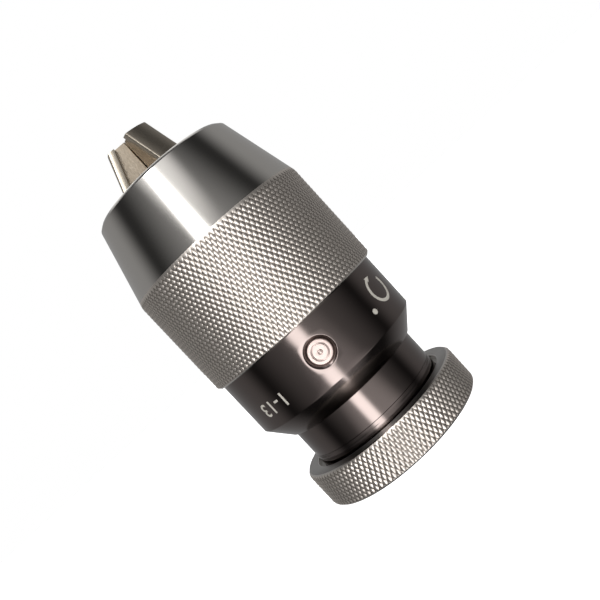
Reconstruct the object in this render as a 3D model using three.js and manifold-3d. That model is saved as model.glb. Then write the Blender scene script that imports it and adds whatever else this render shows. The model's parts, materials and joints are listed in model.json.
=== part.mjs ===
// Keyless drill chuck of the 13 mm class, with a ball-bearing sleeve and a No. 2 chuck taper socket.
// Units are millimetres.  +Z runs from the machine end (z = 0, rear face of the hold ring) to the
// jaw tips, and the chuck's axis is the Z axis.  The chuck is drawn with its jaws closed.
import * as THREE from "three";
import { mergeVertices } from "three/addons/utils/BufferGeometryUtils.js";
import Module from "manifold-3d";

const wasm = await Module();
wasm.setup();

const radians = THREE.MathUtils.degToRad;

// ---- clearances ---------------------------------------------------------------------------------------
const RUN_FIT = 0.2;                // turning or sliding fit, per side
const PRESS_FIT = 0.1;
const SEAT_GAP = 0.3;               // between faces that seat on each other
const THREAD_FIT = 0.25;
const BACK_FIT = 0.4;               // between the crowned jaw backs and the cone of the hood
const TAIL_FIT = 0.6;               // between the tail of an open jaw and the ring of the guide

// ---- driving dimensions: hood -------------------------------------------------------------------------
const HOOD_RADIUS = 25;             // over the knurl
const KNURL_LENGTH = 26.6;
const HOOD_WALL = 4;
const HOOD_CHAMFER = 0.8;
const SKIRT_LENGTH = 1;             // how far the hood laps over the shoulder of the sleeve
const NOSE_LENGTH = 20.4;
const NOSE_RADIUS = 19.4;
const NOSE_EDGE = 1;

// ---- driving dimensions: sleeve -----------------------------------------------------------------------
const SLEEVE_STEP = 1.35;           // how much smaller the sleeve is than the hood, on the radius
const SLEEVE_BAND = 14.7;           // bare cylinder behind the hood
const SLEEVE_TAPER = 5.4;           // length of its rear taper
const SLEEVE_REAR_LAND = 0.6;       // flat left round the bore at the rear
const SLEEVE_WALL = 4.97;
const SPIGOT_WALL = 3.42;           // wall of the nose end, which the hood fits over

// ---- driving dimensions: body and hold ring -----------------------------------------------------------
const RING_WALL = 4.92;
const RING_LENGTH = 9.8;
const RING_CHAMFER = 0.7;
const RING_RECESS = 1.1;            // recess round the neck in the front face, on the radius
const RING_RECESS_DEPTH = 1.4;
const NECK_LENGTH = 10;             // bare neck between the hold ring and the sleeve
const BODY_CHAMFER = 0.6;
const BODY_SET_BACK = 0.8;          // front of the body behind the front of the sleeve

// ---- driving dimensions: taper socket and screw chamber -----------------------------------------------
const TAPER_LARGE = 14.199;         // diameters and depth of the No. 2 chuck taper
const TAPER_SMALL = 12.385;
const TAPER_DEPTH = 22.225;
const KNOCKOUT_RADIUS = 3;
const SOCKET_FLOOR = 1.8;           // web between the socket and the screw chamber
const CHAMBER_SPARE = 1.6;          // left behind the screw when it is right back

// ---- driving dimensions: bearing ----------------------------------------------------------------------
const BALL_COUNT = 24;
const BALL_SPACE = 0.174;           // left between neighbouring balls
const RACE_OFFSET = 0.42;           // pitch circle outside the neck
const RACE_LEAD_IN = 7.3;           // bearing centre ahead of the rear taper
const PLUG_ANGLE = radians(-91.3);
const PLUG_RADIUS = 2.9;
const PLUG_SUNK = 0.35;             // outer end of the plug below the band
const PLUG_RECESS_RADIUS = 3.65;
const PLUG_RECESS_DEPTH = 0.6;
const DIMPLE_RADIUS = 0.55;
const DIMPLE_DEPTH = 0.5;

// ---- driving dimensions: jaws -------------------------------------------------------------------------
const JAW_COUNT = 3;
const JAW_SLOPE = Math.tan(radians(20));
const FIRST_JAW_ANGLE = radians(-55.4);
const JAW_REACH = 12.1;             // closed jaws stand this far out of the nose
const JAW_TIP_BACK = 6.4;           // radius of the back of a jaw at its tip
const JAW_CROWN = 6;                // the back is an arc round a line this far behind the axis
const JAW_WIDTH = 6.5;              // across the flange, which runs in the wide part of its slot
const JAW_FLANGE = 2;
const JAW_WEB = 3.6;
const JAW_LAND = 0.8;               // width of the gripping edge
const GRIP_LENGTH = 19;
const GRIP_RADIUS = 0.4;            // the closed jaws leave a bore of twice this
const CAPACITY_RADIUS = 6.35;       // half of the largest drill
const TAIL_INNER = 3.2;
const TAIL_BAR = 2.5;               // T-bar that the head of the screw pulls on
const TAIL_NECK = 2.5;

// ---- driving dimensions: drive screw (left-hand) ------------------------------------------------------
const SCREW_LEAD = 4;
const THREAD_DEPTH = 2;
const THREAD_CREST = 1.3;
const FLANK_SLOPE = Math.tan(radians(15));
const SCREW_ENGAGEMENT = 6;         // thread left in the body when the jaws are closed
const HEAD_LENGTH = 8;
const HEAD_LIP = 2.5;               // head outside the tails of the closed jaws
const HEAD_SHOULDER = 3.5;          // head outside the crest of the thread
const HEAD_CHAMFER = 0.6;

// ---- driving dimensions: jaw guide --------------------------------------------------------------------
const GUIDE_RING_LENGTH = 6;
const GUIDE_RING_WALL = 3.25;
const GUIDE_FINGER_WALL = 2;        // thinnest wall, beside the head of the screw
const GUIDE_SET_BACK = 1.9;         // front of the guide behind the nose
const GUIDE_BORE = 7.2;

// ---- facets -------------------------------------------------------------------------------------------
const ROUND = 48;                   // round a turned piece
const THREAD_ROUND = 24;            // round a thread
const BALL_ROUND = 10;
const BALL_RINGS = 6;
const GROOVE_ROUND = 16;            // round the section of the groove for the balls
const PLUG_ROUND = 20;
const PAST = 5;                     // how far a cutter runs past the face that it opens
const MERGE_DISTANCE = 1e-4;        // points nearer to each other than this are one point

// ---- stations along the axis --------------------------------------------------------------------------
const SLEEVE_REAR_Z = RING_LENGTH + NECK_LENGTH;
const BAND_REAR_Z = SLEEVE_REAR_Z + SLEEVE_TAPER;
const HOOD_REAR_Z = BAND_REAR_Z + SLEEVE_BAND;
const SHOULDER_Z = HOOD_REAR_Z + KNURL_LENGTH;
const NOSE_Z = SHOULDER_Z + NOSE_LENGTH;
const TIP_Z = NOSE_Z + JAW_REACH;
const BALL_Z = BAND_REAR_Z + RACE_LEAD_IN;
const OPENING = CAPACITY_RADIUS - GRIP_RADIUS;
const TRAVEL = OPENING / JAW_SLOPE;
const CHAMBER_Z = TAPER_DEPTH + SOCKET_FLOOR;
const BODY_FRONT_Z = CHAMBER_Z + CHAMBER_SPARE + TRAVEL + SCREW_ENGAGEMENT;
const SLEEVE_FRONT_Z = BODY_FRONT_Z + BODY_SET_BACK;
const GUIDE_REAR_Z = SLEEVE_FRONT_Z + SEAT_GAP;
const GUIDE_RING_Z = GUIDE_REAR_Z + GUIDE_RING_LENGTH;
const GUIDE_FRONT_Z = NOSE_Z - GUIDE_SET_BACK;
const HEAD_REAR_Z = BODY_FRONT_Z + SEAT_GAP + TRAVEL;
const HEAD_FRONT_Z = HEAD_REAR_Z + HEAD_LENGTH;
const SHANK_REAR_Z = BODY_FRONT_Z - SCREW_ENGAGEMENT;
const JAW_REAR_Z = HEAD_FRONT_Z + RUN_FIT;
const BAR_FRONT_Z = HEAD_FRONT_Z - TAIL_NECK;
const BAR_REAR_Z = BAR_FRONT_Z - TAIL_BAR;

// ---- radii that follow --------------------------------------------------------------------------------
const SLEEVE_RADIUS = HOOD_RADIUS - SLEEVE_STEP;
const SLEEVE_BORE = SLEEVE_RADIUS - SLEEVE_WALL;
const SPIGOT_RADIUS = SLEEVE_BORE + SPIGOT_WALL;
const NECK_RADIUS = SLEEVE_BORE - RUN_FIT;
const HOOD_BORE = Math.min(HOOD_RADIUS - HOOD_WALL, hoodCone(GUIDE_REAR_Z + 1));
const GUIDE_OUTER = HOOD_BORE - RUN_FIT;
const GUIDE_RING_INNER = GUIDE_OUTER - GUIDE_RING_WALL;
const HEAD_BORE_Z = HEAD_FRONT_Z + SEAT_GAP;
const HEAD_BORE = Math.min(guideCone(HEAD_BORE_Z) - GUIDE_FINGER_WALL, GUIDE_RING_INNER);
const HEAD_RADIUS = HEAD_BORE - RUN_FIT;
const TAIL_OUTER = Math.min(HEAD_RADIUS - HEAD_LIP, GUIDE_RING_INNER - OPENING - TAIL_FIT);
const JAW_BACK_LIMIT = HOOD_BORE - OPENING - 2 * BACK_FIT;
const SCREW_MAJOR = HEAD_RADIUS - HEAD_SHOULDER;
const RING_RADIUS = NECK_RADIUS + RING_WALL;
const RACE_RADIUS = NECK_RADIUS + RACE_OFFSET;
const BALL_RADIUS = RACE_RADIUS * Math.sin(Math.PI / BALL_COUNT) - BALL_SPACE / 2;

// Radius of the back of a closed jaw at height z.
function jawBack(z) {
  return JAW_TIP_BACK + (TIP_Z - z) * JAW_SLOPE;
}

// Radius of the inner cone of the hood at height z.
function hoodCone(z) {
  return jawBack(z) + BACK_FIT;
}

// Radius of the outside of the jaw guide at height z.
function guideCone(z) {
  return hoodCone(z) - RUN_FIT;
}

// Height at which a jaw's back, or a cone parallel to it, reaches a radius.
function heightOf(radius, fit) {
  return TIP_Z - (radius - fit - JAW_TIP_BACK) / JAW_SLOPE;
}

// ---- materials ----------------------------------------------------------------------------------------
function metal(name, color, roughness, metalness = 1) {
  return new THREE.MeshStandardMaterial({ name, color, roughness, metalness });
}

const polishedSteel = metal("polished_steel", 0xc9c5c0, 0.15);
const blackenedSteel = metal("blackened_steel", 0x16161a, 0.2, 0.6);
const groundSteel = metal("ground_steel", 0xa79f92, 0.35);
const hardenedSteel = metal("hardened_steel", 0x77736e, 0.3);
const bearingSteel = metal("bearing_steel", 0xdadada, 0.08);

// ---- solids -------------------------------------------------------------------------------------------
// Turns a closed geometry into a solid, leaving out the flat triangles that a lathe makes on its axis.
function solid(geometry) {
  const bare = geometry.clone();
  bare.deleteAttribute("normal");
  bare.deleteAttribute("uv");
  const merged = mergeVertices(bare, MERGE_DISTANCE);
  const triangles = [];
  for (let i = 0; i < merged.index.count; i += 3) {
    const [a, b, c] = [0, 1, 2].map((k) => merged.index.getX(i + k));
    if (a !== b && b !== c && c !== a) triangles.push(a, b, c);
  }
  const vertProperties = new Float32Array(merged.attributes.position.array);
  return new wasm.Manifold(new wasm.Mesh({ numProp: 3, vertProperties, triVerts: new Uint32Array(triangles) }));
}

function geometryOf(manifold) {
  const mesh = manifold.getMesh();
  const geometry = new THREE.BufferGeometry();
  geometry.setAttribute("position", new THREE.BufferAttribute(mesh.vertProperties, 3));
  geometry.setIndex(new THREE.BufferAttribute(mesh.triVerts, 1));
  geometry.computeVertexNormals();
  return geometry;
}

// Turned solid from [radius, z] points, listed up the outside and down the inside.
function turned(points, facets = ROUND) {
  const outline = points.map(([radius, z]) => new THREE.Vector2(radius, z));
  outline.push(outline[0].clone());
  return solid(new THREE.LatheGeometry(outline, facets).rotateX(Math.PI / 2));
}

// Plain round bar on the axis, from z = low to z = high.
function bar(radius, low, high, facets = ROUND) {
  return turned([[0, low], [radius, low], [radius, high], [0, high]], facets);
}

// Slab of even thickness about the plane y = 0, from an outline of [x, z] points.
function slab(points, thickness) {
  const outline = new THREE.Shape(points.map(([x, z]) => new THREE.Vector2(x, z)));
  const plate = new THREE.ExtrudeGeometry(outline, { depth: thickness, bevelEnabled: false });
  return solid(plate.translate(0, 0, -thickness / 2).rotateX(Math.PI / 2));
}

// Prism along Z from an outline of [x, y] points.
function prism(points, low, high) {
  const outline = new THREE.Shape(points.map(([x, y]) => new THREE.Vector2(x, y)));
  const column = new THREE.ExtrudeGeometry(outline, { depth: high - low, bevelEnabled: false });
  return solid(column.translate(0, 0, low));
}

// Round rod along +X at height z, from x = low to x = high, turned to an angle about the axis.
function radialRod(radius, low, high, z, angle) {
  const rod = new THREE.CylinderGeometry(radius, radius, high - low, PLUG_ROUND);
  rod.rotateZ(-Math.PI / 2).translate((low + high) / 2, 0, z).rotateZ(angle);
  return solid(rod);
}

// Bar with a left-hand thread, cut square at both ends.  Each column of points climbs one lead past
// the next, so the last column meets the first one a whole thread lower.
function threadedBar(major, crest, low, high) {
  const minor = major - THREAD_DEPTH;
  const flank = THREAD_DEPTH * FLANK_SLOPE;
  const profile = [
    [major, -crest / 2],
    [major, crest / 2],
    [minor, crest / 2 + flank],
    [minor, SCREW_LEAD - crest / 2 - flank],
  ];
  const step = profile.length;
  const start = SHANK_REAR_Z - SCREW_LEAD * Math.ceil((SHANK_REAR_Z - low) / SCREW_LEAD + 1);
  const rows = step * (Math.ceil((high - start) / SCREW_LEAD) + 3);
  const positions = [];
  const place = (column, row) => {
    const [radius, offset] = profile[((row % step) + step) % step];
    const angle = (2 * Math.PI * column) / THREAD_ROUND;
    const turn = Math.floor(row / step) - column / THREAD_ROUND;
    positions.push(radius * Math.cos(angle), radius * Math.sin(angle), start + offset + turn * SCREW_LEAD);
  };
  for (let row = -step; row <= rows; row += 1) place(0, row);
  for (let column = 1; column < THREAD_ROUND; column += 1) {
    for (let row = 0; row <= rows; row += 1) place(column, row);
  }
  const seam = (row) => row + step;
  const vertex = (column, row) => {
    if (column === 0) return seam(row);
    if (column === THREAD_ROUND) return seam(row - step);
    return rows + step + 1 + (column - 1) * (rows + 1) + row;
  };
  const triangles = [];
  for (let column = 0; column < THREAD_ROUND; column += 1) {
    for (let row = 0; row < rows; row += 1) {
      const [a, b] = [vertex(column, row), vertex(column + 1, row)];
      const [c, d] = [vertex(column + 1, row + 1), vertex(column, row + 1)];
      triangles.push(a, b, c, a, c, d);
    }
  }
  const rim = (row) => {
    const loop = [];
    for (let column = 0; column < THREAD_ROUND; column += 1) loop.push(vertex(column, row));
    for (let k = step; k > 0; k -= 1) loop.push(seam(row - k));
    return loop;
  };
  for (const [row, top] of [[0, false], [rows, true]]) {
    const loop = rim(row);
    const hub = positions.length / 3;
    positions.push(0, 0, start + (row / step - 0.5) * SCREW_LEAD);
    loop.forEach((from, i) => {
      const to = loop[(i + 1) % loop.length];
      triangles.push(hub, ...(top ? [from, to] : [to, from]));
    });
  }
  const geometry = new THREE.BufferGeometry();
  geometry.setAttribute("position", new THREE.Float32BufferAttribute(positions, 3));
  geometry.setIndex(triangles);
  return solid(geometry).intersect(bar(major + PAST, low, high, THREAD_ROUND));
}

// Groove that the balls run in: a ring of round section, wider than a ball by the running fit.
function raceGroove() {
  const section = BALL_RADIUS + RUN_FIT;
  const points = [];
  for (let i = 0; i < GROOVE_ROUND; i += 1) {
    const angle = (2 * Math.PI * i) / GROOVE_ROUND;
    points.push([RACE_RADIUS + section * Math.cos(angle), BALL_Z + section * Math.sin(angle)]);
  }
  return turned(points);
}

// ---- pieces -------------------------------------------------------------------------------------------
// Body: taper socket from the rear, knock-out hole, and the chamber with the left-hand nut thread.
function makeBody() {
  const blank = turned([
    [TAPER_LARGE / 2, 0],
    [NECK_RADIUS - BODY_CHAMFER, 0],
    [NECK_RADIUS, BODY_CHAMFER],
    [NECK_RADIUS, BODY_FRONT_Z - BODY_CHAMFER],
    [NECK_RADIUS - BODY_CHAMFER, BODY_FRONT_Z],
    [KNOCKOUT_RADIUS, BODY_FRONT_Z],
    [KNOCKOUT_RADIUS, TAPER_DEPTH],
    [TAPER_SMALL / 2, TAPER_DEPTH],
  ]);
  const groove = THREAD_CREST + 2 * THREAD_FIT * (1 - FLANK_SLOPE);
  const nut = threadedBar(SCREW_MAJOR + THREAD_FIT, groove, CHAMBER_Z, BODY_FRONT_Z + PAST);
  return blank.subtract(nut).subtract(raceGroove());
}

function makeHoldRing() {
  const bore = NECK_RADIUS + PRESS_FIT;
  const recess = NECK_RADIUS + RING_RECESS;
  return turned([
    [bore, 0],
    [RING_RADIUS - RING_CHAMFER, 0],
    [RING_RADIUS, RING_CHAMFER],
    [RING_RADIUS, RING_LENGTH - RING_CHAMFER],
    [RING_RADIUS - RING_CHAMFER, RING_LENGTH],
    [recess, RING_LENGTH],
    [recess, RING_LENGTH - RING_RECESS_DEPTH],
    [bore, RING_LENGTH - RING_RECESS_DEPTH],
  ]);
}

// Sleeve: outer race, with the filling hole for the balls and the spigot that carries the hood.
function makeSleeve() {
  const shoulder = HOOD_REAR_Z + SKIRT_LENGTH - SEAT_GAP;
  const blank = turned([
    [SLEEVE_BORE, SLEEVE_REAR_Z],
    [SLEEVE_BORE + SLEEVE_REAR_LAND, SLEEVE_REAR_Z],
    [SLEEVE_RADIUS, BAND_REAR_Z],
    [SLEEVE_RADIUS, shoulder],
    [SPIGOT_RADIUS, shoulder],
    [SPIGOT_RADIUS, SLEEVE_FRONT_Z],
    [SLEEVE_BORE, SLEEVE_FRONT_Z],
  ]);
  const floor = SLEEVE_RADIUS - PLUG_RECESS_DEPTH;
  const recess = radialRod(PLUG_RECESS_RADIUS, floor, SLEEVE_RADIUS + PAST, BALL_Z, PLUG_ANGLE);
  const hole = radialRod(PLUG_RADIUS + PRESS_FIT, RACE_RADIUS, SLEEVE_RADIUS, BALL_Z, PLUG_ANGLE);
  return blank.subtract(raceGroove()).subtract(recess).subtract(hole);
}

function makeFillerPlug() {
  const inner = RACE_RADIUS + BALL_RADIUS + 2 * RUN_FIT;
  const outer = SLEEVE_RADIUS - PLUG_SUNK;
  const plug = radialRod(PLUG_RADIUS, inner, outer, BALL_Z, PLUG_ANGLE);
  const dimple = radialRod(DIMPLE_RADIUS, outer - DIMPLE_DEPTH, outer + PAST, BALL_Z, PLUG_ANGLE);
  return plug.subtract(dimple);
}

// Hood: knurled grip, nose cone outside, and inside the cone that the jaw backs run on.
function makeHood() {
  const lap = SLEEVE_RADIUS + RUN_FIT;
  const seat = SPIGOT_RADIUS + RUN_FIT;
  const lapZ = HOOD_REAR_Z + SKIRT_LENGTH;
  return turned([
    [lap, HOOD_REAR_Z],
    [HOOD_RADIUS - HOOD_CHAMFER, HOOD_REAR_Z],
    [HOOD_RADIUS, HOOD_REAR_Z + HOOD_CHAMFER],
    [HOOD_RADIUS, SHOULDER_Z],
    [NOSE_RADIUS + NOSE_EDGE * (HOOD_RADIUS - NOSE_RADIUS) / NOSE_LENGTH, NOSE_Z - NOSE_EDGE],
    [NOSE_RADIUS - NOSE_EDGE, NOSE_Z],
    [hoodCone(NOSE_Z), NOSE_Z],
    [HOOD_BORE, heightOf(HOOD_BORE, BACK_FIT)],
    [HOOD_BORE, GUIDE_REAR_Z],
    [seat, GUIDE_REAR_Z],
    [seat, lapZ],
    [lap, lapZ],
  ]);
}

// One radial T-slot for a jaw: a wide part for the flange, sloped with the jaw's back, a narrow part
// for the web, and behind them a way through for the T-shaped tail.
function jawSlot() {
  const low = GUIDE_RING_Z;
  const high = GUIDE_FRONT_Z + PAST;
  const ledge = JAW_FLANGE + RUN_FIT;
  const wide = slab([
    [jawBack(low) - ledge, low],
    [jawBack(low) + PAST, low],
    [jawBack(high) + PAST, high],
    [jawBack(high) - ledge, high],
  ], JAW_WIDTH + 2 * RUN_FIT);
  const narrow = slab([
    [0, low],
    [jawBack(low) + PAST, low],
    [jawBack(high) + PAST, high],
    [0, high],
  ], JAW_WEB + 2 * RUN_FIT);
  const tailWay = slab([
    [0, low],
    [jawBack(low) + PAST, low],
    [jawBack(low) + PAST, BAR_FRONT_Z + RUN_FIT],
    [0, BAR_FRONT_Z + RUN_FIT],
  ], JAW_WIDTH + 2 * RUN_FIT);
  return wide.add(narrow).add(tailWay);
}

// Jaw guide: a ring held between the sleeve and the hood, with one finger between each two jaws.
function makeJawGuide() {
  let guide = turned([
    [GUIDE_RING_INNER, GUIDE_REAR_Z],
    [GUIDE_OUTER, GUIDE_REAR_Z],
    [GUIDE_OUTER, heightOf(HOOD_BORE, BACK_FIT)],
    [guideCone(GUIDE_FRONT_Z), GUIDE_FRONT_Z],
    [GUIDE_BORE, GUIDE_FRONT_Z],
    [GUIDE_BORE, HEAD_BORE_Z],
    [HEAD_BORE, HEAD_BORE_Z],
    [HEAD_BORE, GUIDE_RING_Z],
    [GUIDE_RING_INNER, GUIDE_RING_Z],
  ]);
  for (let i = 0; i < JAW_COUNT; i += 1) guide = guide.subtract(turnedTo(jawSlot(), jawAngle(i)));
  return guide;
}

function jawAngle(index) {
  return FIRST_JAW_ANGLE + (2 * Math.PI * index) / JAW_COUNT;
}

// The same solid, turned about the chuck's axis.
function turnedTo(shape, angle) {
  return solid(geometryOf(shape).rotateZ(angle));
}

// Slot in the head of the screw for the tail of one jaw.
function tailSlot() {
  const reach = HEAD_RADIUS + PAST;
  const neck = slab([
    [0, BAR_REAR_Z],
    [reach, BAR_REAR_Z],
    [reach, HEAD_FRONT_Z + PAST],
    [0, HEAD_FRONT_Z + PAST],
  ], JAW_WEB + 2 * RUN_FIT);
  const chamber = slab([
    [0, BAR_REAR_Z - RUN_FIT],
    [reach, BAR_REAR_Z - RUN_FIT],
    [reach, BAR_FRONT_Z + RUN_FIT],
    [0, BAR_FRONT_Z + RUN_FIT],
  ], JAW_WIDTH + 2 * RUN_FIT);
  return neck.add(chamber);
}

function makeDriveScrew() {
  const shank = threadedBar(SCREW_MAJOR, THREAD_CREST, SHANK_REAR_Z, HEAD_REAR_Z + HEAD_CHAMFER);
  const head = turned([
    [0, HEAD_REAR_Z],
    [HEAD_RADIUS - HEAD_CHAMFER, HEAD_REAR_Z],
    [HEAD_RADIUS, HEAD_REAR_Z + HEAD_CHAMFER],
    [HEAD_RADIUS, HEAD_FRONT_Z - HEAD_CHAMFER],
    [HEAD_RADIUS - HEAD_CHAMFER, HEAD_FRONT_Z],
    [0, HEAD_FRONT_Z],
  ]);
  let screw = shank.add(head);
  for (let i = 0; i < JAW_COUNT; i += 1) screw = screw.subtract(turnedTo(tailSlot(), jawAngle(i)));
  return screw;
}

// Jaw, drawn with its back towards +X: a web that ends in the gripping edge, a flange along the
// crowned back, and a T-shaped tail.
function makeJaw() {
  const web = slab([
    [GRIP_RADIUS, TIP_Z],
    [GRIP_RADIUS, TIP_Z - GRIP_LENGTH],
    [TAIL_INNER, JAW_REAR_Z],
    [TAIL_INNER, BAR_REAR_Z],
    [TAIL_OUTER, BAR_REAR_Z],
    [TAIL_OUTER, JAW_REAR_Z],
    [jawBack(JAW_REAR_Z) + PAST, JAW_REAR_Z],
    [jawBack(TIP_Z) + PAST, TIP_Z],
  ], JAW_WEB);
  const flange = slab([
    [jawBack(TIP_Z) - JAW_FLANGE, TIP_Z],
    [jawBack(JAW_REAR_Z) - JAW_FLANGE, JAW_REAR_Z],
    [jawBack(JAW_REAR_Z) + PAST, JAW_REAR_Z],
    [jawBack(TIP_Z) + PAST, TIP_Z],
  ], JAW_WIDTH);
  const tee = slab([
    [TAIL_INNER, BAR_REAR_Z],
    [TAIL_OUTER, BAR_REAR_Z],
    [TAIL_OUTER, BAR_FRONT_Z],
    [TAIL_INNER, BAR_FRONT_Z],
  ], JAW_WIDTH);
  const side = JAW_WIDTH;
  const bevel = GRIP_RADIUS + (side - JAW_LAND / 2) / Math.tan(Math.PI / JAW_COUNT);
  const wedge = prism([
    [GRIP_RADIUS, -JAW_LAND / 2],
    [bevel, -side],
    [HOOD_RADIUS, -side],
    [HOOD_RADIUS, side],
    [bevel, side],
    [GRIP_RADIUS, JAW_LAND / 2],
  ], BAR_REAR_Z - PAST, TIP_Z + PAST);
  const limitZ = heightOf(JAW_BACK_LIMIT, 0);
  const cutZ = BAR_REAR_Z - PAST;
  const crown = turned([
    [0, cutZ],
    ...(limitZ > cutZ
      ? [[JAW_BACK_LIMIT + JAW_CROWN, cutZ], [JAW_BACK_LIMIT + JAW_CROWN, limitZ]]
      : [[jawBack(cutZ) + JAW_CROWN, cutZ]]),
    [JAW_TIP_BACK + JAW_CROWN, TIP_Z],
    [JAW_TIP_BACK + JAW_CROWN, TIP_Z + PAST],
    [0, TIP_Z + PAST],
  ]);
  const back = solid(geometryOf(crown).translate(-JAW_CROWN, 0, 0));
  return web.add(flange).add(tee).intersect(wedge).intersect(back);
}

function makeBall() {
  return new THREE.SphereGeometry(BALL_RADIUS, BALL_ROUND, BALL_RINGS);
}

// ---- assembly -----------------------------------------------------------------------------------------
const chuck = new THREE.Group();

function addPiece(name, geometry, material, place = {}) {
  const mesh = new THREE.Mesh(geometry, material);
  mesh.name = name;
  mesh.position.copy(place.position ?? new THREE.Vector3());
  mesh.rotation.z = place.angle ?? 0;
  chuck.add(mesh);
}

addPiece("chuck_body", geometryOf(makeBody()), blackenedSteel);
addPiece("hold_ring", geometryOf(makeHoldRing()), polishedSteel);
addPiece("sleeve", geometryOf(makeSleeve()), blackenedSteel);
addPiece("filler_plug", geometryOf(makeFillerPlug()), groundSteel);
addPiece("hood", geometryOf(makeHood()), polishedSteel);
addPiece("jaw_guide", geometryOf(makeJawGuide()), hardenedSteel);
addPiece("drive_screw", geometryOf(makeDriveScrew()), hardenedSteel);
for (let i = 0; i < JAW_COUNT; i += 1) {
  addPiece(`jaw_${i + 1}`, geometryOf(makeJaw()), groundSteel, { angle: jawAngle(i) });
}
for (let i = 0; i < BALL_COUNT; i += 1) {
  const angle = (2 * Math.PI * i) / BALL_COUNT;
  const [x, y] = [RACE_RADIUS * Math.cos(angle), RACE_RADIUS * Math.sin(angle)];
  const position = new THREE.Vector3(x, y, BALL_Z);
  addPiece(`ball_${String(i + 1).padStart(2, "0")}`, makeBall(), bearingSteel, { position, angle });
}

export default chuck;
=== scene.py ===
"""Keyless drill chuck of the 13 mm class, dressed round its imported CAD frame.

The chuck stands on its hold ring, with the nose up and its axis on Z.  Lengths are in metres, and
a heading round the chuck is measured from -Y, the side that faces the camera, towards +X.
"""

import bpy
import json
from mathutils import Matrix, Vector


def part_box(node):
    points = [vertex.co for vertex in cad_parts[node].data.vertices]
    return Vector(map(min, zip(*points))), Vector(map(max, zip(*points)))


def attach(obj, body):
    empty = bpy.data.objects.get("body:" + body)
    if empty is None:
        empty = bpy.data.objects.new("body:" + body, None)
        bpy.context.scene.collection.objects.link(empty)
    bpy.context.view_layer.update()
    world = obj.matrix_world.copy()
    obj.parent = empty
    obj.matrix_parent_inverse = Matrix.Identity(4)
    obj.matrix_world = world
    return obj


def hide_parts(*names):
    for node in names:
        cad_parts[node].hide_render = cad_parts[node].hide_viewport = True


bl_info = {
    "name": "Keyless Drill Chuck",
    "version": (1, 0, 0),
    "blender": (4, 5, 0),
    "location": "3D View > Sidebar > Chuck",
    "description": "Builds the finished pieces of a keyless drill chuck round its CAD frame",
    "category": "Object",
}

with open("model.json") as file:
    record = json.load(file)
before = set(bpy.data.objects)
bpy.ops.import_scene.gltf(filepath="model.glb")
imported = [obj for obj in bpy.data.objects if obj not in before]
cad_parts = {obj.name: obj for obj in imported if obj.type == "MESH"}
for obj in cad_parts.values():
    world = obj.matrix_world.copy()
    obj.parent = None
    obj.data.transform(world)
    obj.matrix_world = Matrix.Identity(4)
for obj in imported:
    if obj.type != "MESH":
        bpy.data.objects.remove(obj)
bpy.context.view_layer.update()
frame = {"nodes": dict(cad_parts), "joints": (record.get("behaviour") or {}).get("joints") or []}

import json
from math import atan2, ceil, cos, hypot, pi, radians, sin, sqrt, tan

import bmesh
import bpy
import numpy as np
from bpy.props import FloatProperty, IntProperty, PointerProperty, StringProperty
from mathutils import Matrix, Vector

MM = 0.001
MERGE = 1e-7                      # points nearer to each other than this become one

# ---- what the frame says --------------------------------------------------------------------------


def reach(node):
    """Radius, rear height and front height of a CAD node that is round the axis."""
    low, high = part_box(node)
    return high.x, low.z, high.z


RING_RADIUS, RING_REAR, RING_FRONT = reach("hold_ring")
NECK_RADIUS, BODY_REAR, BODY_FRONT = reach("chuck_body")
SLEEVE_RADIUS, SLEEVE_REAR, SLEEVE_FRONT = reach("sleeve")
HOOD_RADIUS, HOOD_REAR, HOOD_FRONT = reach("hood")
GUIDE_RADIUS, GUIDE_REAR, GUIDE_FRONT = reach("jaw_guide")
HEAD_RADIUS, SCREW_REAR, SCREW_FRONT = reach("drive_screw")
JAW_REAR, JAW_TIP = (corner.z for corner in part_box("jaw_1"))
PLUG_CENTRE = sum(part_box("filler_plug"), Vector()) / 2
BALL_HEIGHT = (sum(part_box("ball_01"), Vector()) / 2).z
PLUG_ANGLE = atan2(PLUG_CENTRE.y, PLUG_CENTRE.x)
JAW_AXES = {j["child"]: j["axis"] for j in frame["joints"] if j["child"].startswith("jaw_")}
BALLS = sorted(node for node in frame["nodes"] if node.startswith("ball_"))

# Inner sizes that the boxes can't show.
RUN_FIT = 0.2 * MM
SLEEVE_BORE = NECK_RADIUS + RUN_FIT
BALL_RADIUS = 2.38 * MM
RACE_RADIUS = NECK_RADIUS + 0.42 * MM
JAW_SLOPE = tan(radians(20))
JAW_TIP_BACK = 6.4 * MM           # radius of a jaw's back at its tip
BACK_FIT = 0.4 * MM
JAW_WIDTH = 6.5 * MM
JAW_WEB = 3.6 * MM
JAW_FLANGE = 2.4 * MM
JAW_CROWN = 3 * MM                # how far behind the axis the round back of a jaw is struck
JAW_BACK_LIMIT = 14.25 * MM       # radius at which the back of a jaw runs straight
CROWN_STEPS = 8                   # steps from a flange's corner to the middle of a jaw's back
GRIP = 0.4 * MM                   # radius of the gripping edge of a closed jaw, and half its width
GRIP_REAR = JAW_TIP - 19 * MM
TAIL_INNER = 3.2 * MM
TAIL_OUTER = 11 * MM
BAR_FRONT = SCREW_FRONT - 2.5 * MM
PAST = 5 * MM                     # how far a cutter runs on past what it cuts
SMALL_FACETS = 64
INNER_FACETS = 120
SHOULDER = HOOD_FRONT - 20.4 * MM  # where the plain cone of the hood starts
NOSE_RADIUS = 19.65 * MM
PLUG_SUNK = 0.35 * MM             # how far the face of the plug lies below the sleeve


def jaw_back(height):
    """Radius of the back of a closed jaw."""
    return JAW_TIP_BACK + (JAW_TIP - height) * JAW_SLOPE


# ---- settings -------------------------------------------------------------------------------------


def length(name, description, millimetres):
    return FloatProperty(name=name, description=description, default=millimetres * MM, unit="LENGTH")


def number(name, description, default):
    return IntProperty(name=name, description=description, default=default, min=3)


def colour(name, description, default):
    return StringProperty(name=name, description=description + ", as an sRGB hex value", default=default)


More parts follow.
